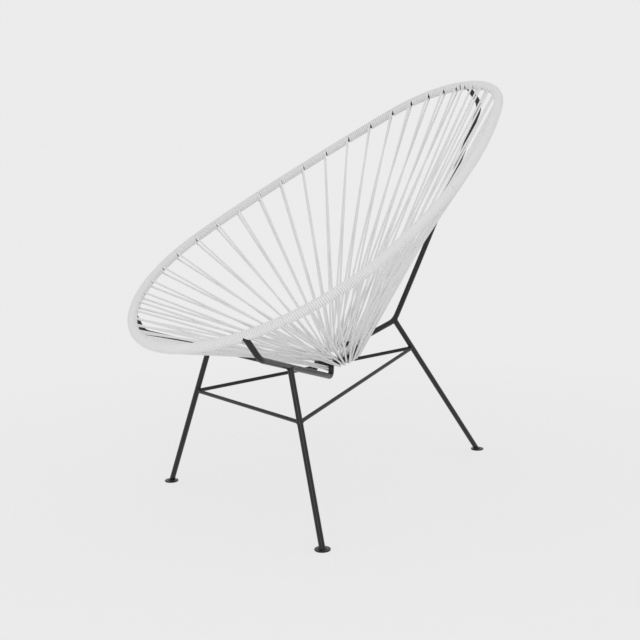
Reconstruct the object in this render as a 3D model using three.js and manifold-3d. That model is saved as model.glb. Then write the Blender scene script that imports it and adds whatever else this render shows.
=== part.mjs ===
import * as THREE from 'three';
import { mergeVertices } from 'three/addons/utils/BufferGeometryUtils.js';
import Module from 'manifold-3d';

const wasm = await Module();
wasm.setup();

// Driving dimensions, mm. Origin on the floor, +Z up, the sitter faces -Y and their left is +X.
const rod_d = 12;
const stretcher_d = 8;
const ring_rod_d = 10;
const cord_d = 4.7;
const gap = 0.3;
const layer_gap = 0.8;

// The rim is a three-arc egg in a plane that rises to the back, with slightly sagging sides.
const rim_front = { y: -447.1, z: 372.5 };
const rim_back = { y: 403.3, z: 889.1 };
const rim_front_arc = 336;
const rim_side_arc = 1130;
const rim_back_arc = 204.4;
const rim_sag = 11.2;
const rim_wave = 4.9;

// The inner ring lies at the bottom of the seat and rises to the back.
const ring_mid = { y: -1.3, z: 301.2 };
const ring_arc = 45;
const ring_tilt_deg = 21;

// Corners of the bent arms; each starts on the rim and ends on the ring. A knee is placed from
// the weld on the rim, whose own place is a distance along it from the front centre.
const arm_run = 228;
const arm_knee = { out: 10, back: 26.3, down: 45.7 };
const arm_heel = { x: 30.5, y: -44, z: 260 };
const arm_ring_deg = 32.5;
const back_knee = { back: 46.7, down: 44.1 };
const back_hip = { y: 168, z: 356 };
const back_bow = 3.5;
const knee_bend = 24;
const hip_bend = 40;
const back_knee_bend = 28;
const heel_bend = 12;

// The tripod: each leg runs straight from its foot to the arm above it.
const front_foot = { x: 281.6, y: -269.6 };
const back_foot = { y: 442 };
const leg_share_on_arm = 0.382;
const leg_share_on_back_arm = 0.5;
const stretcher_front_z = 224;
const stretcher_back_z = 286;
const disc_d = 31;
const disc_t = 3;

// The cord: pitch from loop to loop along the rim, from the front centre to the back centre.
const loop_pitches = [
  37.3, 37.3, 37.3, 37.3, 37.5, 37.1, 42.9, 41, 50.2, 55.7, 57.6, 64.8, 64,
  64.6, 65.2, 64.3, 65.9, 67.1, 65.4, 64, 62.6, 52.4, 47.9, 42.3, 37.3, 29,
];
const arm_loop = 6;
const straddle = 9.5;
const crowd_step_deg = 4;
const first_side_deg = 43;
const last_loop_deg = 168.8;
const stagger = 3.3;
const rib_height = 1;

// Counts
const loops_per_piece = 2;
const steps_per_piece = 3;
const rim_sides = 8;
const rod_sides = 12;
const cord_sides = 6;
const ring_steps = 42;
const ring_sides = 10;
const wrap_corners = 4;
const disc_sides = 32;
const bow_steps = 4;
const bend_step_deg = 15;
const outline_samples = 1200;

const rod_r = rod_d / 2;
const ring_rod_r = ring_rod_d / 2;
const stretcher_r = stretcher_d / 2;
const cord_r = cord_d / 2;
const winding_r = rod_r + gap + cord_d;
const strand_at_rim = rod_r + gap + cord_r;
const wrap_r = ring_rod_r + gap + cord_r;
const half_turn = Math.PI;
const full_turn = 2 * Math.PI;
const rad = THREE.MathUtils.degToRad;
const vec = (x, y, z) => new THREE.Vector3(x, y, z);

const black_steel = { color: 0x1c1c1e, roughness: 0.5, metalness: 0.55 };
const white_cord = { color: 0xe9e9e6, roughness: 0.42, metalness: 0 };

// Booleans
function toSolid(geometry) {
  const bare = geometry.clone();
  bare.deleteAttribute('normal');
  bare.deleteAttribute('uv');
  const merged = mergeVertices(bare);
  return new wasm.Manifold(new wasm.Mesh({
    numProp: 3,
    vertProperties: new Float32Array(merged.attributes.position.array),
    triVerts: new Uint32Array(merged.index.array),
  }));
}

function toGeometry(solid) {
  const mesh = solid.getMesh();
  const geometry = new THREE.BufferGeometry();
  geometry.setAttribute('position', new THREE.BufferAttribute(new Float32Array(mesh.vertProperties), 3));
  geometry.setIndex(new THREE.BufferAttribute(new Uint32Array(mesh.triVerts), 1));
  return geometry;
}

// A path with its own stations and section frames, for ExtrudeGeometry
class Stations extends THREE.Curve {
  constructor(points, tangents, normals, binormals) {
    super();
    this.points = points;
    this.frames = { tangents, normals, binormals };
  }

  getPoint(t) {
    return this.points[Math.round(t * (this.points.length - 1))].clone();
  }

  getSpacedPoints() {
    return this.points;
  }

  computeFrenetFrames() {
    return this.frames;
  }
}

function polygon(radius, sides) {
  const corners = [];
  for (let i = 0; i < sides; i += 1) {
    const a = (full_turn * i) / sides;
    corners.push(new THREE.Vector2(radius * Math.cos(a), radius * Math.sin(a)));
  }
  return new THREE.Shape(corners);
}

function extrudeAlong(path, radius, sides) {
  return new THREE.ExtrudeGeometry(polygon(radius, sides), {
    steps: path.points.length - 1,
    extrudePath: path,
    bevelEnabled: false,
  });
}

// An open rod along points, its section carried along without twist
function rodSolid(points, radius, sides = rod_sides) {
  const tangents = points.map((p, i) => {
    const before = points[Math.max(i - 1, 0)];
    const after = points[Math.min(i + 1, points.length - 1)];
    const into = p.clone().sub(before).normalize();
    const out = after.clone().sub(p).normalize();
    return into.add(out).normalize();
  });
  const normals = [];
  const binormals = [];
  let side = vec(1, 0, 0);
  if (Math.abs(tangents[0].x) > Math.SQRT1_2) {
    side = vec(0, 1, 0);
  }
  tangents.forEach((t) => {
    side = side.clone().addScaledVector(t, -side.dot(t)).normalize();
    normals.push(side);
    binormals.push(t.clone().cross(side));
  });
  return toSolid(extrudeAlong(new Stations(points, tangents, normals, binormals), radius, sides));
}

// Corners joined by straight runs, each inner corner rounded to its bend radius if it has one
function bentRoute(corners, bends) {
  const route = [corners[0]];
  for (let i = 1; i < corners.length - 1; i += 1) {
    if (bends[i - 1] === 0) {
      route.push(corners[i]);
      continue;
    }
    const into = corners[i].clone().sub(corners[i - 1]).normalize();
    const out = corners[i + 1].clone().sub(corners[i]).normalize();
    const turn = into.angleTo(out);
    const bend = bends[i - 1];
    const start = corners[i].clone().addScaledVector(into, -bend * Math.tan(turn / 2));
    const across = out.clone().addScaledVector(into, -out.dot(into)).normalize();
    const steps = Math.max(2, Math.ceil(turn / rad(bend_step_deg)));
    for (let k = 0; k <= steps; k += 1) {
      const a = (turn * k) / steps;
      route.push(start.clone().addScaledVector(into, bend * Math.sin(a))
        .addScaledVector(across, bend * (1 - Math.cos(a))));
    }
  }
  route.push(corners[corners.length - 1]);
  return route;
}

// The rim's centreline
const rim_length = Math.hypot(rim_back.y - rim_front.y, rim_back.z - rim_front.z);
const side_to_front = rim_side_arc - rim_front_arc;
const side_to_back = rim_side_arc - rim_back_arc;
const back_centre = rim_length - rim_back_arc;
const side_centre = (back_centre ** 2 - rim_front_arc ** 2 - side_to_back ** 2 + side_to_front ** 2)
  / (2 * (back_centre - rim_front_arc));
const side_offset = Math.sqrt(side_to_front ** 2 - (rim_front_arc - side_centre) ** 2);
const side_from = Math.atan2(rim_front_arc - side_centre, side_offset);
const side_to = Math.atan2(back_centre - side_centre, side_offset);
const front_sweep = half_turn / 2 + side_from;
const side_sweep = side_to - side_from;
const back_sweep = half_turn / 2 - side_to;
const arc_lengths = [front_sweep * rim_front_arc, side_sweep * rim_side_arc, back_sweep * rim_back_arc];
const outline_length = arc_lengths[0] + arc_lengths[1] + arc_lengths[2];

// A point on the half outline at a share of its flat length, then lifted into the sloping plane
function rimPoint(share) {
  const run = Math.min(Math.max(share, 0), 1) * outline_length;
  let across = 0;
  let along = 0;
  if (run < arc_lengths[0]) {
    const a = run / rim_front_arc;
    across = rim_front_arc * Math.sin(a);
    along = rim_front_arc * (1 - Math.cos(a));
  } else if (run < arc_lengths[0] + arc_lengths[1]) {
    const a = side_from + (run - arc_lengths[0]) / rim_side_arc;
    across = rim_side_arc * Math.cos(a) - side_offset;
    along = side_centre + rim_side_arc * Math.sin(a);
  } else {
    const a = side_to + (run - arc_lengths[0] - arc_lengths[1]) / rim_back_arc;
    across = rim_back_arc * Math.cos(a);
    along = back_centre + rim_back_arc * Math.sin(a);
  }
  const u = along / rim_length;
  const sag = rim_wave * Math.sin(full_turn * u) - rim_sag * Math.sin(half_turn * u);
  return vec(
    across,
    rim_front.y + (rim_back.y - rim_front.y) * u,
    rim_front.z + (rim_back.z - rim_front.z) * u + sag,
  );
}

const outline = [];
const run_at = [0];
for (let i = 0; i <= outline_samples; i += 1) {
  outline.push(rimPoint(i / outline_samples));
  if (i > 0) {
    run_at.push(run_at[i - 1] + outline[i].distanceTo(outline[i - 1]));
  }
}
const half_rim = run_at[outline_samples];
const whole_rim = 2 * half_rim;

// The point at a distance along the whole rim, from the front centre by the sitter's left
function rimAt(distance) {
  const wrapped = ((distance % whole_rim) + whole_rim) % whole_rim;
  const far = wrapped > half_rim;
  const run = far ? whole_rim - wrapped : wrapped;
  const next = Math.max(1, run_at.findIndex((reached) => reached >= run));
  const part = (run - run_at[next - 1]) / (run_at[next] - run_at[next - 1]);
  const point = outline[next - 1].clone().lerp(outline[next], part);
  if (far) {
    point.x = -point.x;
  }
  return point;
}

function rimTangent(distance) {
  return rimAt(distance + rod_r).sub(rimAt(distance - rod_r)).normalize();
}

// The rim's section frame: out of the loop and up from its plane
const rim_up = vec(0, rim_front.z - rim_back.z, rim_back.y - rim_front.y).normalize();

function rimFrame(distance) {
  const t = rimTangent(distance);
  const up = rim_up.clone().addScaledVector(t, -rim_up.dot(t)).normalize();
  return { p: rimAt(distance), t, n: up.clone().cross(t), b: up };
}

// The inner ring
const ring_tilt = rad(ring_tilt_deg);
const ring_up = vec(0, -Math.sin(ring_tilt), Math.cos(ring_tilt));

function ringAt(angle) {
  const along = ring_arc * Math.sin(angle);
  return vec(ring_arc * Math.cos(angle), ring_mid.y + along * Math.cos(ring_tilt), ring_mid.z + along * Math.sin(ring_tilt));
}

function ringTangent(angle) {
  return vec(-Math.sin(angle), Math.cos(angle) * Math.cos(ring_tilt), Math.cos(angle) * Math.sin(ring_tilt));
}

// Where the loops leave the rim and meet the ring: crowded between the arms, even steps past them,
// and every second one wrapped a little further out to clear its neighbours
const pitch_sum = loop_pitches.reduce((sum, pitch) => sum + pitch, 0);
const loops = [];
const loop_half = loop_pitches.length;

// A loop at an arm's end keeps its lower strand to the front of it
function lowRun(k, run) {
  if (Math.abs(run - arm_run) < straddle) {
    return arm_run - straddle;
  }
  return k === loop_half ? run - straddle : run;
}

for (let i = 0; i < 2 * loop_half; i += 1) {
  const k = i <= loop_half ? i : 2 * loop_half - i;
  const hand = i <= loop_half ? 1 : -1;
  const run = loop_pitches.slice(0, k).reduce((sum, pitch) => sum + pitch, 0) * (half_rim / pitch_sum);
  const past_arm = (k - arm_loop) / (loop_half - arm_loop);
  let from_front = first_side_deg + (last_loop_deg - first_side_deg) * past_arm;
  let raised = stagger;
  if (k < arm_loop) {
    from_front = crowd_step_deg * k;
    raised = cord_d + layer_gap;
  }
  const low = lowRun(k, run);
  const high = k === loop_half ? run + straddle : run;
  loops.push({
    run: hand > 0 ? run : whole_rim - run,
    low_run: hand > 0 ? low : whole_rim - low,
    high_run: hand > 0 ? high : whole_rim - high,
    angle: -half_turn / 2 + hand * rad(from_front),
    radius: k % 2 === 1 ? wrap_r + raised : wrap_r,
  });
}

// Rim stations: the pieces of winding meet half way between loops
const piece_count = loops.length / loops_per_piece;
const joints = [];
for (let j = 0; j <= piece_count; j += 1) {
  const before = loops[(loops_per_piece * j - 1 + loops.length) % loops.length].run;
  const after = loops[(loops_per_piece * j) % loops.length].run;
  let middle = (before + after) / 2;
  if (j === 0) {
    middle = (before - whole_rim + after) / 2;
  }
  if (j === piece_count) {
    middle = joints[0] + whole_rim;
  }
  joints.push(middle);
}
const stations = [];
for (let j = 0; j < piece_count; j += 1) {
  for (let k = 0; k < steps_per_piece; k += 1) {
    const share = k / steps_per_piece;
    stations.push(rimFrame(joints[j] * (1 - share) + joints[j + 1] * share));
  }
}
stations.push(stations[0]);

// The rim rod closes on itself, so only the walls of its extrusion are kept
function rimGeometry(radius) {
  const path = new Stations(
    stations.map((s) => s.p),
    stations.map((s) => s.t),
    stations.map((s) => s.n),
    stations.map((s) => s.b),
  );
  const swept = extrudeAlong(path, radius, rim_sides);
  const walls = swept.groups[1];
  const all = swept.attributes.position.array;
  const kept = all.slice(walls.start * 3, (walls.start + walls.count) * 3);
  const geometry = new THREE.BufferGeometry();
  geometry.setAttribute('position', new THREE.BufferAttribute(kept, 3));
  return geometry;
}

// Its facets lie evenly inside and outside the true circle
function ringGeometry() {
  const profile = [];
  const at_corners = (2 * ring_arc) / (1 + Math.cos(half_turn / ring_steps));
  for (let i = 0; i <= ring_sides; i += 1) {
    const a = (full_turn * i) / ring_sides;
    profile.push(new THREE.Vector2(at_corners + ring_rod_r * Math.cos(a), ring_rod_r * Math.sin(a)));
  }
  const geometry = new THREE.LatheGeometry(profile, ring_steps);
  geometry.rotateX(half_turn / 2 + ring_tilt);
  geometry.translate(0, ring_mid.y, ring_mid.z);
  return geometry;
}

// Arms; each starts a little way out from the rim's centreline
function weldStart(run, knee_at) {
  return rimAt(run).add(knee_at.clone().sub(rimAt(run)).setLength(rod_r / 2));
}

const arm_ring = ringAt(-half_turn / 2 + rad(arm_ring_deg));
const knee = rimAt(arm_run).add(vec(arm_knee.out, arm_knee.back, -arm_knee.down));
const heel = vec(arm_heel.x, arm_heel.y, arm_heel.z);
const arm_top = arm_ring.clone().add(heel.clone().sub(arm_ring).setLength(ring_rod_r + gap));
const front_arm = bentRoute([weldStart(arm_run, knee), knee, heel, arm_top], [knee_bend, heel_bend]);

const back_ring = ringAt(half_turn / 2);
const back_knee_at = rimAt(half_rim).add(vec(0, back_knee.back, -back_knee.down));
const back_hip_at = vec(0, back_hip.y, back_hip.z);
const back_top = back_ring.clone().add(back_hip_at.clone().sub(back_ring).setLength(ring_rod_r + gap));

// The long run of the back arm is bowed slightly to the rear
const bow_way = back_hip_at.clone().sub(back_knee_at).applyAxisAngle(vec(1, 0, 0), half_turn / 2).normalize();
const bow_points = [];
for (let k = 1; k < bow_steps; k += 1) {
  const share = k / bow_steps;
  const lift = 4 * back_bow * share * (1 - share);
  bow_points.push(back_knee_at.clone().lerp(back_hip_at, share).addScaledVector(bow_way, lift));
}
const back_arm = bentRoute(
  [weldStart(half_rim, back_knee_at), back_knee_at, ...bow_points, back_hip_at, back_top],
  [back_knee_bend, ...bow_points.map(() => 0), hip_bend],
);

function mirrored(points) {
  return points.map((p) => vec(-p.x, p.y, p.z));
}

const rim_clear = toSolid(rimGeometry(rod_r + gap));
const front_arm_clear = [front_arm, mirrored(front_arm)].map((route) => rodSolid(route, rod_r + gap));
const back_arm_clear = rodSolid(back_arm, rod_r + gap);

// Legs
const leg_head = knee.clone().lerp(heel, leg_share_on_arm);
const foot = vec(front_foot.x, front_foot.y, 0);
const hip_points = back_arm.filter((p) => p.distanceTo(back_hip_at) < hip_bend);
const back_head = hip_points[Math.round((hip_points.length - 1) * leg_share_on_back_arm)];
const back_foot_at = vec(0, back_foot.y, 0);

function footing(at) {
  const block = new THREE.BoxGeometry(2 * disc_d, 2 * disc_d, 2 * disc_d);
  block.translate(at.x, at.y, disc_t + gap - disc_d);
  return toSolid(block);
}

function legSolid(at, head, arm_clear) {
  const down = at.clone().addScaledVector(at.clone().sub(head).normalize(), rod_r);
  return rodSolid([down, head], rod_r).subtract(arm_clear).subtract(footing(at));
}

// Stretchers end on the inner faces of the legs
function onLeg(at, head, z) {
  return at.clone().lerp(head, (z - at.z) / (head.z - at.z));
}
const joint_front = onLeg(foot, leg_head, stretcher_front_z);
const joint_back = onLeg(back_foot_at, back_head, stretcher_back_z);
const front_leg_clear = [[foot, leg_head], mirrored([foot, leg_head])].map((run) => rodSolid(run, rod_r + gap));
const back_leg_clear = rodSolid([back_foot_at, back_head], rod_r + gap);
const front_stretcher = [joint_front, ...mirrored([joint_front])];
const front_stretcher_clear = rodSolid(front_stretcher, stretcher_r + gap);

function sideStretcher(hand) {
  const front = hand > 0 ? joint_front : mirrored([joint_front])[0];
  const other_half = new THREE.BoxGeometry(disc_d, disc_d * 2, disc_d);
  other_half.translate(hand * (gap / 2 - disc_d / 2), joint_back.y, joint_back.z);
  return rodSolid([front, joint_back], stretcher_r)
    .subtract(front_leg_clear[hand > 0 ? 0 : 1])
    .subtract(back_leg_clear)
    .subtract(front_stretcher_clear)
    .subtract(toSolid(other_half));
}

// One belt loop: up from the rim's underside round the ring and back over the top
function loopSolid(loop) {
  const q = ringAt(loop.angle);
  const along_ring = ringTangent(loop.angle);
  const d = rimAt(loop.run).sub(q).normalize();
  const out_of_ring = d.clone().addScaledVector(along_ring, -d.dot(along_ring)).normalize();
  const m = out_of_ring.clone().cross(along_ring);
  const low_side = rimTangent(loop.low_run).cross(d).normalize();
  const high_side = rimTangent(loop.high_run).cross(d).normalize();
  const low_sign = low_side.dot(ring_up) > 0 ? -1 : 1;
  const high_sign = high_side.dot(ring_up) > 0 ? 1 : -1;
  const ring_sign = m.dot(ring_up) > 0 ? 1 : -1;
  m.multiplyScalar(ring_sign);
  const points = [rimAt(loop.low_run).addScaledVector(low_side, low_sign * strand_at_rim)];
  const step = half_turn / wrap_corners;
  const corner_r = loop.radius / Math.cos(step / 2);
  for (let k = 0; k < wrap_corners; k += 1) {
    const a = step * (k + 1 / 2);
    points.push(q.clone().addScaledVector(m, -corner_r * Math.cos(a))
      .addScaledVector(out_of_ring, -corner_r * Math.sin(a)));
  }
  points.push(rimAt(loop.high_run).addScaledVector(high_side, high_sign * strand_at_rim));
  const side = m.clone().cross(out_of_ring);
  const tangents = [];
  const normals = [];
  const binormals = [];
  points.forEach((p, i) => {
    const into = p.clone().sub(points[Math.max(i - 1, 0)]).normalize();
    const out = points[Math.min(i + 1, points.length - 1)].clone().sub(p).normalize();
    const t = into.clone().add(out).normalize();
    const cut = i > 0 && i < points.length - 1 ? Math.cos(into.angleTo(out) / 2) : 1;
    const across = side.clone().addScaledVector(t, -side.dot(t)).normalize();
    tangents.push(t);
    normals.push(across.clone().cross(t).divideScalar(cut));
    binormals.push(across.clone());
  });
  // Frame vectors in right-handed order keep the walls facing out
  const flip = normals[0].clone().cross(binormals[0]).dot(tangents[0]) < 0;
  if (flip) {
    binormals.forEach((b) => b.negate());
  }
  return { solid: toSolid(extrudeAlong(new Stations(points, tangents, normals, binormals), cord_r, cord_sides)), points };
}

// Rings of points stitched into one closed wall, outer rings first, then the bore back again
function stitched(rings) {
  const positions = [];
  const faces = [];
  rings.forEach((ring) => ring.forEach((p) => positions.push(p.x, p.y, p.z)));
  const sides = rings[0].length;
  for (let r = 0; r < rings.length; r += 1) {
    const next = (r + 1) % rings.length;
    for (let i = 0; i < sides; i += 1) {
      const j = (i + 1) % sides;
      const a = r * sides + i;
      const b = r * sides + j;
      const c = next * sides + j;
      const d = next * sides + i;
      faces.push(a, b, c, a, c, d);
    }
  }
  const geometry = new THREE.BufferGeometry();
  geometry.setAttribute('position', new THREE.BufferAttribute(new Float32Array(positions), 3));
  geometry.setIndex(faces);
  return geometry;
}

// A ring of points round the rim's own prism, a share of the way from one station to the next
function rimRing(index, share, radius) {
  const from = stations[index];
  const to = stations[index + 1];
  const p = from.p.clone().lerp(to.p, share);
  const n = from.n.clone().lerp(to.n, share);
  const b = from.b.clone().lerp(to.b, share);
  const ring = [];
  for (let i = 0; i < rim_sides; i += 1) {
    const a = (full_turn * i) / rim_sides;
    ring.push(p.clone().addScaledVector(n, radius * Math.cos(a)).addScaledVector(b, radius * Math.sin(a)));
  }
  return ring;
}

function windingSolid(piece) {
  const first = piece * steps_per_piece;
  const last = first + steps_per_piece - 1;
  const trim = (index) => gap / 2 / stations[index].p.distanceTo(stations[index + 1].p);
  const valley_r = winding_r - rib_height;
  const rings = [rimRing(first, trim(first), valley_r)];
  for (let k = first; k <= last; k += 1) {
    rings.push(rimRing(k, 1 / 2, winding_r));
    rings.push(k < last ? rimRing(k, 1, valley_r) : rimRing(k, 1 - trim(k), valley_r));
  }
  const bore_r = rod_r + gap;
  rings.push(rimRing(last, 1 - trim(last), bore_r));
  for (let k = last; k > first; k -= 1) {
    rings.push(rimRing(k, 0, bore_r));
  }
  rings.push(rimRing(first, trim(first), bore_r));
  return toSolid(stitched(rings));
}

// The object
const chair = new THREE.Group();
chair.name = 'chair';

function put(name, geometry, look) {
  const faceted = geometry.index ? geometry.toNonIndexed() : geometry;
  faceted.computeVertexNormals();
  const mesh = new THREE.Mesh(faceted, new THREE.MeshStandardMaterial(look));
  mesh.name = name;
  chair.add(mesh);
}

put('outer_rim', rimGeometry(rod_r), black_steel);
put('inner_ring', ringGeometry(), black_steel);
put('arm_left', toGeometry(rodSolid(front_arm, rod_r).subtract(rim_clear)), black_steel);
put('arm_right', toGeometry(rodSolid(mirrored(front_arm), rod_r).subtract(rim_clear)), black_steel);
put('arm_back', toGeometry(rodSolid(back_arm, rod_r).subtract(rim_clear)), black_steel);
put('leg_left', toGeometry(legSolid(foot, leg_head, front_arm_clear[0])), black_steel);
put('leg_right', toGeometry(legSolid(...mirrored([foot, leg_head]), front_arm_clear[1])), black_steel);
put('leg_back', toGeometry(legSolid(back_foot_at, back_head, back_arm_clear)), black_steel);
put('stretcher_front', toGeometry(rodSolid(front_stretcher, stretcher_r)
  .subtract(front_leg_clear[0]).subtract(front_leg_clear[1])), black_steel);
put('stretcher_left', toGeometry(sideStretcher(1)), black_steel);
put('stretcher_right', toGeometry(sideStretcher(-1)), black_steel);
[['foot_disc_left', foot], ['foot_disc_right', mirrored([foot])[0]], ['foot_disc_back', back_foot_at]]
  .forEach(([name, at]) => {
    const disc = new THREE.CylinderGeometry(disc_d / 2, disc_d / 2, disc_t, disc_sides);
    disc.rotateX(half_turn / 2);
    disc.translate(at.x, at.y, disc_t / 2);
    put(name, disc, black_steel);
  });

const arm_clears = [...front_arm_clear, back_arm_clear];
const loop_routes = [];
for (let piece = 0; piece < piece_count; piece += 1) {
  let solid = windingSolid(piece);
  arm_clears.forEach((clear) => {
    solid = solid.subtract(clear);
  });
  for (let k = 0; k < loops_per_piece; k += 1) {
    const made = loopSolid(loops[piece * loops_per_piece + k]);
    loop_routes.push(made.points);
    solid = solid.add(made.solid);
  }
  const number = String(piece + 1).padStart(2, '0');
  put(`cord_loops_${number}`, toGeometry(solid), white_cord);
}

// Least gap between one loop and the next, measured on points along their strands
function alongStrands(points) {
  const dense = [];
  points.forEach((p, i) => {
    if (i === 0) {
      return;
    }
    const count = Math.ceil(p.distanceTo(points[i - 1]) / cord_r);
    for (let k = 0; k < count; k += 1) {
      dense.push(points[i - 1].clone().lerp(p, k / count));
    }
  });
  return dense;
}
const dense_routes = loop_routes.map(alongStrands);
let least = Infinity;
dense_routes.forEach((route, i) => {
  const next = dense_routes[(i + 1) % dense_routes.length];
  route.forEach((p) => next.forEach((q) => {
    least = Math.min(least, p.distanceTo(q));
  }));
});
console.log(`least distance between neighbouring loops' centre lines: ${least.toFixed(2)} mm`);

export default chair;
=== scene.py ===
import bisect
import math
import random

import bpy
from mathutils import Matrix, Vector


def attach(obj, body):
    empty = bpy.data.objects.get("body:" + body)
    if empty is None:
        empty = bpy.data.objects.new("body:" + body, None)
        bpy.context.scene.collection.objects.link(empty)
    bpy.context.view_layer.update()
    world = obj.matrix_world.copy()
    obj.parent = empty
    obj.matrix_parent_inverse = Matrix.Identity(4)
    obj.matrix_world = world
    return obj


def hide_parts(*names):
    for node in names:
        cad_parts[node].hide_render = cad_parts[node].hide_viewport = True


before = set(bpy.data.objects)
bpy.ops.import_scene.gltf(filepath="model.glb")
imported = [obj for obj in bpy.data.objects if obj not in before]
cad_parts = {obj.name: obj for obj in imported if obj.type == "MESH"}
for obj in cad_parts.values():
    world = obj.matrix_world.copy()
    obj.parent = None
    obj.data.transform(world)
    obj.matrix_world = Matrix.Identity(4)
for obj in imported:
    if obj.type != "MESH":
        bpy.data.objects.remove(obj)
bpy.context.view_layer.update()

bpy.ops.object.select_all(action="DESELECT")
mm = 0.001

# Outer rim. One 12 mm steel rod bent into a three-arc egg and welded end to end, leaning back
# with its front low and its back high, and its long sides sagging a little. The cord hides most
# of it. Like all of the frame it is powder coated semi-matt black.
rod_r = 6 * mm
rim_front = Vector((0, -447.1, 372.5)) * mm
rim_back = Vector((0, 403.3, 889.1)) * mm
rim_front_arc = 336 * mm
rim_side_arc = 1130 * mm
rim_back_arc = 204.4 * mm
rim_sag = 11.2 * mm
rim_wave = 4.9 * mm
outline_samples = 1200
rim_points = 420
rod_smoothness = 6
bend_crease = math.radians(50)

rim_length = (rim_back - rim_front).length
side_to_front = rim_side_arc - rim_front_arc
side_to_back = rim_side_arc - rim_back_arc
back_centre = rim_length - rim_back_arc
side_centre = (back_centre**2 - rim_front_arc**2 - side_to_back**2 + side_to_front**2) / (
    2 * (back_centre - rim_front_arc)
)
side_offset = math.sqrt(side_to_front**2 - (rim_front_arc - side_centre) ** 2)
side_from = math.atan2(rim_front_arc - side_centre, side_offset)
side_to = math.atan2(back_centre - side_centre, side_offset)
front_run = (math.pi / 2 + side_from) * rim_front_arc
side_run = (side_to - side_from) * rim_side_arc
back_run = (math.pi / 2 - side_to) * rim_back_arc


def rim_outline(share):
    """A point of the sitter's left half of the rim, at a share of its flat length."""
    run = min(max(share, 0), 1) * (front_run + side_run + back_run)
    if run < front_run:
        turn = run / rim_front_arc
        across = rim_front_arc * math.sin(turn)
        along = rim_front_arc * (1 - math.cos(turn))
    elif run < front_run + side_run:
        turn = side_from + (run - front_run) / rim_side_arc
        across = rim_side_arc * math.cos(turn) - side_offset
        along = side_centre + rim_side_arc * math.sin(turn)
    else:
        turn = side_to + (run - front_run - side_run) / rim_back_arc
        across = rim_back_arc * math.cos(turn)
        along = back_centre + rim_back_arc * math.sin(turn)
    reach = along / rim_length
    lift = rim_wave * math.sin(2 * math.pi * reach) - rim_sag * math.sin(math.pi * reach)
    return rim_front.lerp(rim_back, reach) + Vector((across, 0, lift))


half_outline = [rim_outline(i / outline_samples) for i in range(outline_samples + 1)]
run_at = [0.0]
for before, after in zip(half_outline, half_outline[1:]):
    run_at.append(run_at[-1] + (after - before).length)
half_rim = run_at[-1]
whole_rim = 2 * half_rim


def rim_at(distance):
    """The rim's centreline at a distance from the front centre, going by the sitter's left."""
    wrapped = distance % whole_rim
    run = min(wrapped, whole_rim - wrapped)
    step = min(max(bisect.bisect_left(run_at, run), 1), outline_samples)
    part = (run - run_at[step - 1]) / (run_at[step] - run_at[step - 1])
    point = half_outline[step - 1].lerp(half_outline[step], part)
    if wrapped > half_rim:
        point.x = -point.x
    return point


def bent_rod(name, points, radius, closed=False, smoothness=rod_smoothness, swell=None):
    """A round rod or cord bent along points, closed at its ends or on itself."""
    bpy.ops.curve.primitive_nurbs_path_add()
    rod = bpy.context.object
    rod.name = rod.data.name = name
    rod.data.splines.clear()
    line = rod.data.splines.new("POLY")
    line.points.add(len(points) - 1)
    for i, point in enumerate(points):
        line.points[i].co = (*point, 1)
        if swell:
            line.points[i].radius = swell[i]
    line.use_cyclic_u = closed
    rod.data.dimensions = "3D"
    rod.data.twist_mode = "MINIMUM"
    rod.data.bevel_depth = radius
    rod.data.bevel_resolution = smoothness
    rod.data.use_fill_caps = not closed
    bpy.ops.object.convert(target="MESH")
    bpy.ops.object.shade_smooth_by_angle(angle=bend_crease)
    return rod


def add_sockets(group, in_out, kinds):
    """Gives a shader group its inputs or outputs, from a name and a kind of value for each."""
    for name, kind in kinds.items():
        group.interface.new_socket(name, in_out=in_out, socket_type=f"NodeSocket{kind}")


def coat_group():
    """Powder coat: the fine orange peel of its surface, with clouds of tone and of gloss."""
    group = bpy.data.node_groups.new("powder_coat_skin", "ShaderNodeTree")
    add_sockets(group, "INPUT", {"Vector": "Vector", "Dark": "Color", "Light": "Color"})
    add_sockets(group, "OUTPUT", {"Color": "Color", "Roughness": "Float", "Normal": "Vector"})
    nodes, link = group.nodes, group.links.new
    given, made = nodes.new("NodeGroupInput"), nodes.new("NodeGroupOutput")
    clouds, peel, rub = (nodes.new("ShaderNodeTexNoise") for _ in range(3))
    for noise, scale, detail in ((clouds, 24, 3), (peel, 1100, 2), (rub, 160, 4)):
        noise.inputs["Scale"].default_value = scale
        noise.inputs["Detail"].default_value = detail
        link(given.outputs["Vector"], noise.inputs["Vector"])
    tone = nodes.new("ShaderNodeMix")
    tone.data_type = "RGBA"
    link(clouds.outputs["Fac"], tone.inputs["Factor"])
    link(given.outputs["Dark"], tone.inputs["A"])
    link(given.outputs["Light"], tone.inputs["B"])
    gloss = nodes.new("ShaderNodeMapRange")
    gloss.inputs["From Min"].default_value = 0.3
    gloss.inputs["From Max"].default_value = 0.7
    gloss.inputs["To Min"].default_value = 0.2
    gloss.inputs["To Max"].default_value = 0.28
    link(rub.outputs["Fac"], gloss.inputs["Value"])
    bump = nodes.new("ShaderNodeBump")
    bump.inputs["Strength"].default_value = 0.2
    bump.inputs["Distance"].default_value = 0.00012
    link(peel.outputs["Fac"], bump.inputs["Height"])
    link(tone.outputs["Result"], made.inputs["Color"])
    link(gloss.outputs["Result"], made.inputs["Roughness"])
    link(bump.outputs["Normal"], made.inputs["Normal"])
    return group


powder_coat_skin = coat_group()


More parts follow.
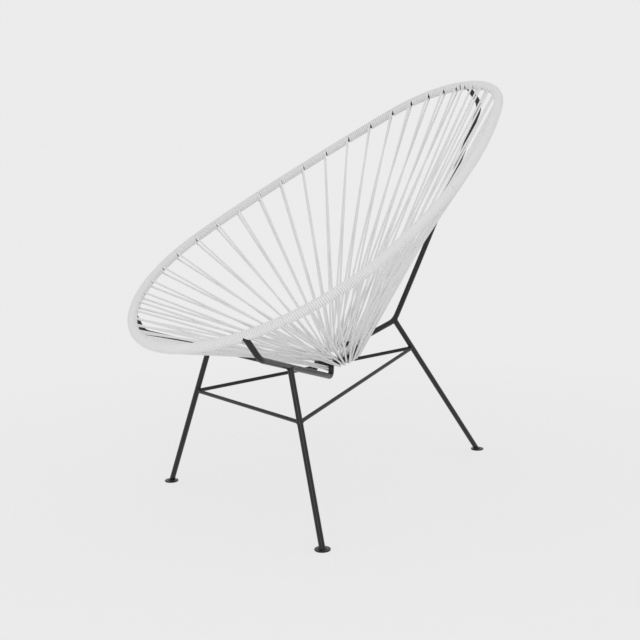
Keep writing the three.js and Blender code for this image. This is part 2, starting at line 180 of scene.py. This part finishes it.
def powder_coat(name, dark, light):
    """A black powder coat between two tones, by the place on the frame."""
    material = bpy.data.materials.new(name)
    material.use_nodes = True
    nodes, link = material.node_tree.nodes, material.node_tree.links.new
    shader = nodes["Principled BSDF"]
    place = nodes.new("ShaderNodeTexCoord")
    skin = nodes.new("ShaderNodeGroup")
    skin.node_tree = powder_coat_skin
    shader.inputs["Specular IOR Level"].default_value = 0.42
    skin.inputs["Dark"].default_value = (*dark, 1)
    skin.inputs["Light"].default_value = (*light, 1)
    link(place.outputs["Object"], skin.inputs["Vector"])
    link(skin.outputs["Color"], shader.inputs["Base Color"])
    link(skin.outputs["Roughness"], shader.inputs["Roughness"])
    link(skin.outputs["Normal"], shader.inputs["Normal"])
    return material


black_coat = powder_coat("black_powder_coat", (0.011, 0.011, 0.011), (0.016, 0.016, 0.016))
weld_coat = powder_coat("black_coat_on_welds", (0.009, 0.009, 0.009), (0.018, 0.018, 0.018))
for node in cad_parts.values():
    node.data.materials.clear()
    node.data.materials.append(black_coat)


def fix_to_chair(piece, material, slot, *nodes):
    """Gives a finished piece its finish and its place on the chair's one rigid body."""
    piece.data.materials.clear()
    piece.data.materials.append(material)
    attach(piece, "root")
    if nodes:
        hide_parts(*nodes)
    bpy.ops.object.select_all(action="DESELECT")


rim_rod = bent_rod(
    "rim_rod", [rim_at(whole_rim * i / rim_points) for i in range(rim_points)], rod_r, closed=True
)
fix_to_chair(rim_rod, black_coat, "frame_steel", "outer_rim")

# Inner ring. A 10 mm steel rod rolled into a small circle, butt welded, at the bottom of the
# seat. It rises a little to the back, and every belt loop of cord turns round it.
ring_rod_r = 5 * mm
ring_mid = Vector((0, -1.3, 301.2)) * mm
ring_arc = 45 * mm
ring_tilt = math.radians(21)
ring_up = Vector((0, -math.sin(ring_tilt), math.cos(ring_tilt)))
ring_back = Vector((0, math.cos(ring_tilt), math.sin(ring_tilt)))


def ring_at(angle):
    """The ring's centreline, at an angle from the sitter's left towards the back."""
    return ring_mid + Vector((ring_arc * math.cos(angle), 0, 0)) + ring_back * (ring_arc * math.sin(angle))


bpy.ops.mesh.primitive_torus_add(
    major_segments=120,
    minor_segments=24,
    major_radius=ring_arc,
    minor_radius=ring_rod_r,
    location=ring_mid,
    rotation=(ring_tilt, 0, 0),
)
ring = bpy.context.object
ring.name = "ring_rod"
bpy.ops.object.transform_apply()
bpy.ops.object.shade_smooth()
fix_to_chair(ring, black_coat, "frame_steel", "inner_ring")

# Arms. Three bent 12 mm rods carry the seat, each welded to the rim and to the ring. The front
# pair drop to a knee, run inwards under the cords and turn up at a heel to the ring's underside.
# The back arm is bowed to the rear down to its hip, above the back leg, and runs on to the ring.
arm_run = 228 * mm
arm_knee = Vector((10, 26.3, -45.7)) * mm
arm_heel = Vector((30.5, -44, 260)) * mm
arm_ring_angle = math.radians(32.5 - 90)
back_knee = Vector((0, 46.7, -44.1)) * mm
back_hip = Vector((0, 168, 356)) * mm
back_bow = 3.5 * mm
knee_bend = 24 * mm
hip_bend = 40 * mm
back_knee_bend = 28 * mm
heel_bend = 12 * mm
weld_overlap = 2 * mm
bend_step = math.radians(4)
bow_steps = 16


def bent_route(corners, bends):
    """Straight runs between corners, each inner corner rounded to its bend radius."""
    route = [corners[0]]
    for before, corner, after, bend in zip(corners, corners[1:], corners[2:], bends):
        if not bend:
            route.append(corner)
            continue
        into = (corner - before).normalized()
        out = (after - corner).normalized()
        turn = into.angle(out)
        start = corner - into * (bend * math.tan(turn / 2))
        across = (out - into * out.dot(into)).normalized()
        steps = math.ceil(turn / bend_step)
        for i in range(steps + 1):
            a = turn * i / steps
            route.append(start + into * (bend * math.sin(a)) + across * (bend * (1 - math.cos(a))))
    return route + [corners[-1]]


def mirrored(points):
    """The same points on the other side of the chair."""
    return [Vector((-p.x, p.y, p.z)) for p in points]


left_knee = rim_at(arm_run) + arm_knee
left_top = ring_at(arm_ring_angle)
left_top += (arm_heel - left_top).normalized() * (ring_rod_r - weld_overlap)
left_arm = bent_route([rim_at(arm_run), left_knee, arm_heel, left_top], [knee_bend, heel_bend])
knee_at_back = rim_at(half_rim) + back_knee
back_top = ring_at(math.pi / 2)
back_top += (back_hip - back_top).normalized() * (ring_rod_r - weld_overlap)
rearward = Vector((1, 0, 0)).cross(back_hip - knee_at_back).normalized()
bowed = [
    knee_at_back.lerp(back_hip, u) + rearward * (4 * back_bow * u * (1 - u))
    for u in (i / bow_steps for i in range(1, bow_steps))
]
back_arm = bent_route(
    [rim_at(half_rim), knee_at_back, *bowed, back_hip, back_top],
    [back_knee_bend, *(0 for _ in bowed), hip_bend],
)
for name, route in (("arm_left", left_arm), ("arm_right", mirrored(left_arm)), ("arm_back", back_arm)):
    fix_to_chair(bent_rod(f"{name}_rod", route, rod_r), black_coat, "frame_steel", name)

# Legs. Three straight 12 mm rods spread as a tripod, each welded at its head to the underside of
# an arm, and cut level at the foot where it stands on a steel disc.
front_foot = Vector((281.6, -269.6, 0)) * mm
back_foot = Vector((0, 442, 0)) * mm
leg_share_on_arm = 0.382
disc_r = 15.5 * mm
disc_t = 3 * mm
rod_sides = 40
rod_cuts = 2
rod_crease = math.radians(40)
foot_allowance = 2 * rod_r
cut_tolerance = 0.001 * mm

front_head = left_knee.lerp(arm_heel, leg_share_on_arm)
hip_arc = [p for p in back_arm if (p - back_hip).length < hip_bend]
back_head = hip_arc[len(hip_arc) // 2]


def straight_rod(name, start, end, radius):
    """A straight round rod from one point to another."""
    way = end - start
    bpy.ops.mesh.primitive_cylinder_add(
        vertices=rod_sides,
        radius=radius,
        depth=way.length,
        location=(start + end) / 2,
        rotation=way.to_track_quat("Z", "Y").to_euler(),
    )
    rod = bpy.context.object
    rod.name = name
    bpy.ops.object.transform_apply()
    bpy.ops.object.mode_set(mode="EDIT")
    bpy.ops.mesh.select_all(action="SELECT")
    bpy.ops.mesh.subdivide(number_cuts=rod_cuts)
    bpy.ops.object.mode_set(mode="OBJECT")
    return rod


def leg(name, foot, head):
    """One leg from just inside the arm down to its disc, where it is cut level."""
    way = (head - foot).normalized()
    rod = straight_rod(f"{name}_rod", foot - way * foot_allowance, head - way * weld_overlap, rod_r)
    bpy.ops.object.mode_set(mode="EDIT")
    bpy.ops.mesh.select_all(action="SELECT")
    bpy.ops.mesh.bisect(
        plane_co=(0, 0, disc_t / 2),
        plane_no=(0, 0, 1),
        clear_inner=True,
        use_fill=True,
        threshold=cut_tolerance,
    )
    bpy.ops.object.mode_set(mode="OBJECT")
    bpy.ops.object.shade_smooth_by_angle(angle=rod_crease)
    fix_to_chair(rod, black_coat, "frame_steel", name)


leg("leg_left", front_foot, front_head)
leg("leg_right", *mirrored([front_foot, front_head]))
leg("leg_back", back_foot, back_head)

# Stretchers. Three 8 mm rods tie the legs into a triangle, their ends welded to the inner faces
# of the legs: one across the front, and one down each side that meets the other at the back leg.
stretcher_r = 4 * mm
stretcher_front_z = 224 * mm
stretcher_back_z = 286 * mm

left_joint = front_foot.lerp(front_head, stretcher_front_z / front_head.z)
right_joint = mirrored([left_joint])[0]
back_joint = back_foot.lerp(back_head, stretcher_back_z / back_head.z)


def stretcher(name, start, end):
    """One stretcher between two legs, its ends just inside them."""
    way = (end - start).normalized()
    reach = rod_r - weld_overlap
    rod = straight_rod(f"{name}_rod", start + way * reach, end - way * reach, stretcher_r)
    bpy.ops.object.shade_smooth_by_angle(angle=rod_crease)
    fix_to_chair(rod, black_coat, "frame_steel", name)


stretcher("stretcher_front", right_joint, left_joint)
stretcher("stretcher_left", left_joint, back_joint)
stretcher("stretcher_right", right_joint, back_joint)

# Foot discs. Punched 3 mm steel discs with an eased edge, one welded under each leg, lying flat
# on the floor.
disc_sides = 72
disc_edge = 0.9 * mm
disc_edge_steps = 4
disc_crease = math.radians(30)

for name, spot in (
    ("foot_disc_left", front_foot),
    ("foot_disc_right", mirrored([front_foot])[0]),
    ("foot_disc_back", back_foot),
):
    bpy.ops.mesh.primitive_cylinder_add(
        vertices=disc_sides, radius=disc_r, depth=disc_t, location=spot + Vector((0, 0, disc_t / 2))
    )
    disc = bpy.context.object
    disc.name = f"{name}_plate"
    bpy.ops.object.transform_apply()
    bpy.ops.object.mode_set(mode="EDIT")
    bpy.ops.mesh.select_all(action="SELECT")
    bpy.ops.mesh.select_mode(type="FACE")
    bpy.ops.object.mode_set(mode="OBJECT")
    for face in disc.data.polygons:
        face.select = abs(face.normal.z) > 0.9
    bpy.ops.object.mode_set(mode="EDIT")
    bpy.ops.mesh.bevel(offset=disc_edge, segments=disc_edge_steps, affect="EDGES")
    bpy.ops.object.mode_set(mode="OBJECT")
    bpy.ops.object.shade_smooth_by_angle(angle=disc_crease)
    fix_to_chair(disc, black_coat, "frame_steel", name)

# Welds. A small rippled fillet of weld metal round the end of every rod, under the same black
# coat, each following the saddle line where its two rods meet.
bead_r = 1.7 * mm
bead_points = 72
bead_smoothness = 3
bead_ripples = 13
ripple_height = 0.16
ripple_waver = 0.08
waver_pace = 5
least_saddle = 0.3


def saddle(joint, way, end_r, along, through_r):
    """The closed line where a rod leaving joint along way comes out of the rod it is welded to."""
    side = way.cross(along).normalized()
    up = side.cross(way)
    lean = along.dot(way)
    line = []
    for i in range(bead_points):
        a = 2 * math.pi * i / bead_points
        out = (side * math.cos(a) + up * math.sin(a)) * end_r
        run_on = along.dot(out)
        square = 1 - lean**2
        half = lean * run_on
        inside = through_r**2 - end_r**2 + run_on**2
        root = math.sqrt(max(half**2 + square * inside, (square * least_saddle * through_r) ** 2))
        line.append(joint + out + way * ((half + root) / square))
    return line


def bead(name, line):
    """A rippled bead of weld metal along a closed line."""
    swell = []
    for i in range(len(line)):
        ripple = ripple_height * math.cos(2 * math.pi * bead_ripples * i / len(line))
        swell.append(1 + ripple + ripple_waver * math.sin(waver_pace * i))
    return bent_rod(name, line, bead_r, closed=True, smoothness=bead_smoothness, swell=swell)


def weld_group(name, beads):
    """Joins beads of the same kind of joint into one piece."""
    bpy.ops.object.select_all(action="DESELECT")
    for one in beads:
        one.select_set(True)
    bpy.context.view_layer.objects.active = beads[0]
    bpy.ops.object.join()
    beads[0].name = name
    fix_to_chair(beads[0], weld_coat, "frame_steel")


arm_way = (arm_heel - left_top).normalized()
ring_line = Vector((-math.sin(arm_ring_angle), 0, 0)) + ring_back * math.cos(arm_ring_angle)
heel_weld = saddle(ring_at(arm_ring_angle), arm_way, rod_r, ring_line, ring_rod_r)
back_arm_way = (back_hip - back_top).normalized()
back_top_weld = saddle(ring_at(math.pi / 2), back_arm_way, rod_r, Vector((1, 0, 0)), ring_rod_r)
ring_welds = [
    bead("weld_a", heel_weld),
    bead("weld_b", mirrored(heel_weld)),
    bead("weld_c", back_top_weld),
]
weld_group("welds_under_ring", ring_welds)

leg_way = (front_foot - front_head).normalized()
back_way = (back_foot - back_head).normalized()
hip_way = (hip_arc[-1] - hip_arc[0]).normalized()
front_head_weld = saddle(front_head, leg_way, rod_r, (arm_heel - left_knee).normalized(), rod_r)
back_head_weld = saddle(back_head, back_way, rod_r, hip_way, rod_r)
leg_welds = [
    bead("weld_a", front_head_weld),
    bead("weld_b", mirrored(front_head_weld)),
    bead("weld_c", back_head_weld),
]
weld_group("welds_at_leg_heads", leg_welds)

front_end = saddle(left_joint, (right_joint - left_joint).normalized(), stretcher_r, leg_way, rod_r)
side_end = saddle(left_joint, (back_joint - left_joint).normalized(), stretcher_r, leg_way, rod_r)
back_end = saddle(back_joint, (left_joint - back_joint).normalized(), stretcher_r, back_way, rod_r)
stretcher_welds = []
for line in (front_end, side_end, back_end):
    stretcher_welds += [bead("weld_a", line), bead("weld_b", mirrored(line))]
weld_group("welds_at_stretchers", stretcher_welds)


def foot_line(foot, head):
    """The line round a leg where it stands on its disc."""
    way = (head - foot).normalized()
    side = way.cross(Vector((0, 0, 1))).normalized()
    down = side.cross(way)
    line = []
    for i in range(bead_points):
        a = 2 * math.pi * i / bead_points
        out = (side * math.cos(a) + down * math.sin(a)) * rod_r
        line.append(foot + out + way * ((disc_t - out.z) / way.z))
    return line


front_foot_weld = foot_line(front_foot, front_head)
foot_welds = [
    bead("weld_a", front_foot_weld),
    bead("weld_b", mirrored(front_foot_weld)),
    bead("weld_c", foot_line(back_foot, back_head)),
]
weld_group("welds_on_foot_discs", foot_welds)

# Seat cord. White vinyl cord, 4.7 mm thick, wound turn against turn round the rim, mirrored from
# side to side. Every few turns it runs as a belt from the rim's underside to the ring's top, half
# round the ring and from its underside back to the rim's top, so that its two strands cross.
cord_r = 2.35 * mm
pressed_in = 0.6 * mm
wound_r = rod_r + cord_r - pressed_in
ring_play = 0.3 * mm
wrap_r = ring_rod_r + cord_r + ring_play
outer_layer = 5.9 * mm
stagger = 3.3 * mm
turn_pitch = 4.76 * mm
# How far apart the belts leave the rim, in turn from its front centre to its back centre.
loop_pitches = [
    37.3, 37.3, 37.3, 37.3, 37.5, 37.1, 42.9, 41, 50.2, 55.7, 57.6, 64.8, 64,
    64.6, 65.2, 64.3, 65.9, 67.1, 65.4, 64, 62.6, 52.4, 47.9, 42.3, 37.3, 29,
]
# The belts between the front arms: degrees from the front centre, and layer on the ring.
front_belts = [(0, 0), (5.3, 0), (10.6, 0), (15.9, 0), (21.2, 0), (19.2, 1)]
first_side = 43
last_loop = 168.8
turn_points = 24
strand_points = 10
wrap_points = 14
cord_smoothness = 4
pressed_square = 6
taut_share = 0.94
taking_up = 6
arm_clear = 8.7 * mm
crowding = 18 * mm
crowding_reach = 5 * crowding
crowding_shape = 0.8
slack = 0.3 * mm
slack_seed = 52
front_passing = 2 * mm
side_passing = 3.5 * mm
tucked_under = math.radians(-135)
full_turn = 2 * math.pi

rim_up = Vector((0, rim_front.z - rim_back.z, rim_back.y - rim_front.y)).normalized()
arm_welds = [
    (arm_run, arm_knee),
    (half_rim, back_knee),
    (whole_rim - arm_run, Vector((-arm_knee.x, arm_knee.y, arm_knee.z))),
]


def rim_section(distance):
    """Centre, tangent, outward and upward directions of the rim at a distance along it."""
    tangent = (rim_at(distance + rod_r) - rim_at(distance - rod_r)).normalized()
    up = (rim_up - tangent * rim_up.dot(tangent)).normalized()
    return rim_at(distance), tangent, tangent.cross(up), up


def weld_side(distance, knee):
    """The angle round the rim at which an arm is welded to it."""
    _, _, outward, up = rim_section(distance)
    return math.atan2(knee.dot(up), knee.dot(outward))


arm_sides = [(run, weld_side(run, knee)) for run, knee in arm_welds]


def aside(distance, turn, turn_low):
    """A distance along the rim, pushed aside where an arm comes out between the turns."""
    push = 0
    for run, facing in arm_sides:
        off = turn_low - run
        if abs(off) < crowding_reach:
            spread = max(0, math.cos(turn - facing)) ** crowding_shape
            push += math.copysign(arm_clear * spread * math.exp(-abs(off) / crowding), off)
    return distance + push


def wound_point(distance, turn, turn_low):
    """A point of the cord on the rim, at an angle up from the outside, in the turn over turn_low."""
    centre, _, outward, up = rim_section(aside(distance, turn, turn_low))
    return centre + (outward * math.cos(turn) + up * math.sin(turn)) * wound_r


def strand(start, end, along_ring, sideways):
    """The taut cord between rim and ring, with the little slack that it has."""
    return [
        start.lerp(end, u) + along_ring * (sideways * math.sin(math.pi * u))
        for u in (i / strand_points for i in range(1, strand_points))
    ]


class Belt:
    """One belt loop of cord: its two ends on the rim and the points it runs through."""


pitch_scale = half_rim / sum(loop_pitches)
loop_half = len(loop_pitches)
belts = []
for i in range(2 * loop_half):
    k = i if i <= loop_half else 2 * loop_half - i
    hand = 1 if i <= loop_half else -1
    run = sum(loop_pitches[:k]) * pitch_scale
    if k < len(front_belts):
        from_front, layer = front_belts[k]
        raised = layer * outer_layer
        passing = front_passing
    else:
        past_arm = (k - len(front_belts)) / (loop_half - len(front_belts))
        from_front = first_side + (last_loop - first_side) * past_arm
        raised = (k % 2) * stagger
        passing = side_passing
    belt = Belt()
    belt.hand = hand
    belt.run = run if hand > 0 else whole_rim - run
    belt.low_run = belt.run - hand * turn_pitch / 4
    belt.high_run = belt.run + hand * turn_pitch / 4
    belt.angle = hand * math.radians(from_front) - math.pi / 2
    belt.wrap = wrap_r + raised
    belt.aslant = hand * passing / ring_arc
    belts.append(belt)

slack_of = random.Random(slack_seed)
for belt in belts:
    spot = ring_at(belt.angle)
    along_ring = Vector((-math.sin(belt.angle), 0, 0)) + ring_back * math.cos(belt.angle)
    way = (rim_at(belt.run) - spot).normalized()
    out_of_ring = (way - along_ring * way.dot(along_ring)).normalized()
    over = out_of_ring.cross(along_ring)
    if over.dot(ring_up) < 0:
        over.negate()
    _, tangent, outward, up = rim_section(belt.run)
    square = tangent.cross(way).normalized()
    if square.dot(ring_up) < 0:
        square.negate()
    belt.high_turn = math.atan2(square.dot(up), square.dot(outward))
    belt.low_turn = belt.high_turn - math.pi
    low = wound_point(belt.low_run, belt.low_turn, belt.low_run)
    high = wound_point(belt.high_run, belt.high_turn, belt.high_run)
    wrap = []
    for i in range(wrap_points + 1):
        a = math.pi * i / wrap_points
        beside = ring_at(belt.angle - belt.aslant * math.cos(a))
        wrap.append(beside + over * (belt.wrap * math.cos(a)) - out_of_ring * (belt.wrap * math.sin(a)))
    low_bow, high_bow = (slack_of.uniform(-slack, slack) for _ in range(2))
    low_strand = strand(low, wrap[0], along_ring, low_bow)
    high_strand = strand(wrap[-1], high, along_ring, high_bow)
    belt.stations = [(point, ring_up, 0) for point in low_strand + wrap + high_strand]
    belt.enter, belt.leave = (belt.low_run, belt.low_turn), (belt.high_run, belt.high_turn)
    if belt.hand < 0:
        belt.stations.reverse()
        belt.enter, belt.leave = belt.leave, belt.enter


def coil(start_run, start_turn, end_run, end_turn, hand):
    """The cord wound turn against turn along the rim, down its outside where hand is 1."""
    length = (end_run - start_run) % whole_rim
    part_turn = hand * (start_turn - end_turn) % full_turn / full_turn
    turns = round(length / turn_pitch - part_turn) + part_turn
    count = math.ceil(turns * turn_points)
    wound = []
    for i in range(count + 1):
        share = i / count
        turn = start_turn - hand * share * turns * full_turn
        lowest = round((-math.pi / 2 - turn) / full_turn) * full_turn
        low_share = hand * (start_turn + math.pi / 2 + lowest) / (turns * full_turn)
        spot = wound_point(start_run + share * length, turn, start_run + low_share * length)
        _, _, outward, up = rim_section(start_run + share * length)
        wound.append([spot, outward * math.cos(turn) + up * math.sin(turn), 1])
    return wound


windings = []
for belt, following in zip(belts, belts[1:] + belts[:1]):
    if belt.hand == following.hand:
        winding = coil(*belt.leave, *following.enter, belt.hand)
    else:
        # Beside the chair's front and back centre the winding turns back under the rim.
        turned_back = belt.leave[0] + (following.enter[0] - belt.leave[0]) % whole_rim / 2
        winding = coil(*belt.leave, turned_back, tucked_under, belt.hand)[:-1]
        winding += coil(turned_back, tucked_under, *following.enter, following.hand)
    for i, station in enumerate(winding):
        station[2] = min(1, min(i, len(winding) - 1 - i) / taking_up)
    windings.append(winding)


def seat_cord(name, stations):
    """A length of the cord along its stations: round in the belts, pressed square where wound."""
    swell = [taut_share + (1 - taut_share) * tight for _, _, tight in stations]
    spots = [spot for spot, _, _ in stations]
    cord = bent_rod(name, spots, cord_r, smoothness=cord_smoothness, swell=swell)
    around = len(cord.data.vertices) // len(stations)
    for i, (spot, away, tight) in enumerate(stations):
        if tight == 0:
            continue
        for vertex in cord.data.vertices[i * around : (i + 1) * around]:
            off = vertex.co - spot
            across = min(1, abs(off.dot(away)) / off.length)
            along = math.sqrt(1 - across**2)
            square = (across**pressed_square + along**pressed_square) ** (-1 / pressed_square)
            vertex.co = spot + off * (1 + tight * (square - 1))
    return cord


def cord_group():
    """Vinyl cord: faint tone clouds, fine lines drawn by the die, and a satin surface."""
    group = bpy.data.node_groups.new("drawn_vinyl", "ShaderNodeTree")
    add_sockets(
        group, "INPUT", {"Vector": "Vector", "Length": "Vector", "Clean": "Color", "Handled": "Color"}
    )
    add_sockets(group, "OUTPUT", {"Color": "Color", "Roughness": "Float", "Normal": "Vector"})
    nodes, link = group.nodes, group.links.new
    given, made = nodes.new("NodeGroupInput"), nodes.new("NodeGroupOutput")
    clouds, lines, grain = (nodes.new("ShaderNodeTexNoise") for _ in range(3))
    for noise, scale, detail, source in (
        (clouds, 9, 3, "Vector"),
        (lines, 1, 2, "Length"),
        (grain, 700, 2, "Vector"),
    ):
        noise.inputs["Scale"].default_value = scale
        noise.inputs["Detail"].default_value = detail
        link(given.outputs[source], noise.inputs["Vector"])
    tone = nodes.new("ShaderNodeMix")
    tone.data_type = "RGBA"
    link(clouds.outputs["Fac"], tone.inputs["Factor"])
    link(given.outputs["Clean"], tone.inputs["A"])
    link(given.outputs["Handled"], tone.inputs["B"])
    gloss = nodes.new("ShaderNodeMapRange")
    gloss.inputs["From Min"].default_value = 0.3
    gloss.inputs["From Max"].default_value = 0.7
    gloss.inputs["To Min"].default_value = 0.36
    gloss.inputs["To Max"].default_value = 0.48
    link(grain.outputs["Fac"], gloss.inputs["Value"])
    drawn = nodes.new("ShaderNodeBump")
    drawn.inputs["Strength"].default_value = 0.1
    drawn.inputs["Distance"].default_value = 0.00003
    link(lines.outputs["Fac"], drawn.inputs["Height"])
    fine = nodes.new("ShaderNodeBump")
    fine.inputs["Strength"].default_value = 0.1
    fine.inputs["Distance"].default_value = 0.00002
    link(grain.outputs["Fac"], fine.inputs["Height"])
    link(drawn.outputs["Normal"], fine.inputs["Normal"])
    link(tone.outputs["Result"], made.inputs["Color"])
    link(gloss.outputs["Result"], made.inputs["Roughness"])
    link(fine.outputs["Normal"], made.inputs["Normal"])
    return group


white_cord = bpy.data.materials.new("white_vinyl_cord")
white_cord.use_nodes = True
cord_nodes, cord_link = white_cord.node_tree.nodes, white_cord.node_tree.links.new
cord_shader = cord_nodes["Principled BSDF"]
cord_shader.inputs["Coat Weight"].default_value = 0.15
cord_shader.inputs["Coat Roughness"].default_value = 0.3
cord_place = cord_nodes.new("ShaderNodeTexCoord")
cord_lines = cord_nodes.new("ShaderNodeMapping")
cord_lines.inputs["Scale"].default_value = (3, 60, 1)
cord_skin = cord_nodes.new("ShaderNodeGroup")
cord_skin.node_tree = cord_group()
cord_skin.inputs["Clean"].default_value = (0.89, 0.89, 0.89, 1)
cord_skin.inputs["Handled"].default_value = (0.86, 0.86, 0.86, 1)
cord_link(cord_place.outputs["Object"], cord_skin.inputs["Vector"])
cord_link(cord_place.outputs["UV"], cord_lines.inputs["Vector"])
cord_link(cord_lines.outputs["Vector"], cord_skin.inputs["Length"])
for output, socket in (("Color", "Base Color"), ("Roughness", "Roughness"), ("Normal", "Normal")):
    cord_link(cord_skin.outputs[output], cord_shader.inputs[socket])

for number in range(1, loop_half + 1):
    first, second = 2 * number - 2, 2 * number - 1
    before, between, after = windings[first - 1], windings[first], windings[second]
    stations = before[len(before) // 2 :] + belts[first].stations + between + belts[second].stations
    stations += after[: len(after) // 2 + 1]
    length_of_cord = seat_cord(f"seat_cord_{number:02d}", stations)
    fix_to_chair(length_of_cord, white_cord, "vinyl_cord", f"cord_loops_{number:02d}")

# Studio. A pale floor that runs out of sight, a tall soft lamp behind and above the camera, soft
# light from all round, and the camera where the photograph was taken from.
pale = (0.836, 0.836, 0.836, 1)
floor_reach = 40
lamp_width = 0.5
lamp_height = 1.6
lamp_watts = 9
lamp_place = Vector((1.9, -1.7, 1.6))
chair_middle = Vector((0, 0, 0.45))
camera_place = Vector((1.7370, -1.3900, 0.7150))
camera_turn = math.radians(52.29)
camera_dip = math.radians(8.66)
camera_roll = -0.02
camera_lens = 57.83
camera_sensor = 36

bpy.ops.mesh.primitive_plane_add(size=2 * floor_reach)
floor = bpy.context.object
floor.name = "studio_floor"
floor_look = bpy.data.materials.new("pale_floor")
floor_look.use_nodes = True
nodes, link = floor_look.node_tree.nodes, floor_look.node_tree.links.new
matt = nodes["Principled BSDF"]
matt.inputs["Base Color"].default_value = (0.98, 0.98, 0.98, 1)
matt.inputs["Roughness"].default_value = 1
matt.inputs["Specular IOR Level"].default_value = 0
glow = nodes.new("ShaderNodeEmission")
glow.inputs["Color"].default_value = pale
place = nodes.new("ShaderNodeTexCoord")
reach = nodes.new("ShaderNodeVectorMath")
reach.operation = "LENGTH"
link(place.outputs["Object"], reach.inputs[0])
fade = nodes.new("ShaderNodeMapRange")
fade.inputs["From Min"].default_value = 0.4
fade.inputs["From Max"].default_value = 1.6
fade.inputs["To Min"].default_value = 0.8
fade.inputs["To Max"].default_value = 1
link(reach.outputs["Value"], fade.inputs["Value"])
rays = nodes.new("ShaderNodeLightPath")
seen = nodes.new("ShaderNodeMath")
seen.operation = "MAXIMUM"
link(rays.outputs["Is Camera Ray"], seen.inputs[0])
link(rays.outputs["Is Glossy Ray"], seen.inputs[1])
much = nodes.new("ShaderNodeMath")
much.operation = "MULTIPLY"
link(seen.outputs["Value"], much.inputs[0])
link(fade.outputs["Result"], much.inputs[1])
both = nodes.new("ShaderNodeMixShader")
link(much.outputs["Value"], both.inputs["Fac"])
link(matt.outputs["BSDF"], both.inputs[1])
link(glow.outputs["Emission"], both.inputs[2])
link(both.outputs["Shader"], nodes["Material Output"].inputs["Surface"])
floor.data.materials.append(floor_look)

world = bpy.data.worlds.new("soft_room")
bpy.context.scene.world = world
world.use_nodes = True
nodes, link = world.node_tree.nodes, world.node_tree.links.new
light = nodes["Background"]
light.inputs["Color"].default_value = (1, 1, 1, 1)
light.inputs["Strength"].default_value = 0.7
shown = nodes.new("ShaderNodeBackground")
shown.inputs["Color"].default_value = pale
rays = nodes.new("ShaderNodeLightPath")
seen = nodes.new("ShaderNodeMath")
seen.operation = "MAXIMUM"
link(rays.outputs["Is Camera Ray"], seen.inputs[0])
link(rays.outputs["Is Transmission Ray"], seen.inputs[1])
both = nodes.new("ShaderNodeMixShader")
link(seen.outputs["Value"], both.inputs["Fac"])
link(light.outputs["Background"], both.inputs[1])
link(shown.outputs["Background"], both.inputs[2])
link(both.outputs["Shader"], nodes["World Output"].inputs["Surface"])

bpy.ops.object.light_add(type="AREA", location=lamp_place)
lamp = bpy.context.object
lamp.data.shape = "RECTANGLE"
lamp.data.size = lamp_width
lamp.data.size_y = lamp_height
lamp.data.energy = lamp_watts
lamp.rotation_euler = (chair_middle - lamp_place).to_track_quat("-Z", "Y").to_euler()

sight = Vector((
    -math.sin(camera_turn) * math.cos(camera_dip),
    math.cos(camera_turn) * math.cos(camera_dip),
    -math.sin(camera_dip),
))
level = Vector((math.cos(camera_turn), math.sin(camera_turn), 0))
upward = level.cross(sight)
right = level * math.cos(camera_roll) + upward * math.sin(camera_roll)
top = upward * math.cos(camera_roll) - level * math.sin(camera_roll)
bpy.ops.object.camera_add()
camera = bpy.context.object
camera.data.lens = camera_lens
camera.data.sensor_width = camera_sensor
facing = Matrix((right, top, -sight)).transposed().to_4x4()
camera.matrix_world = Matrix.Translation(camera_place) @ facing
bpy.context.scene.camera = camera
bpy.context.scene.view_settings.view_transform = "Standard"
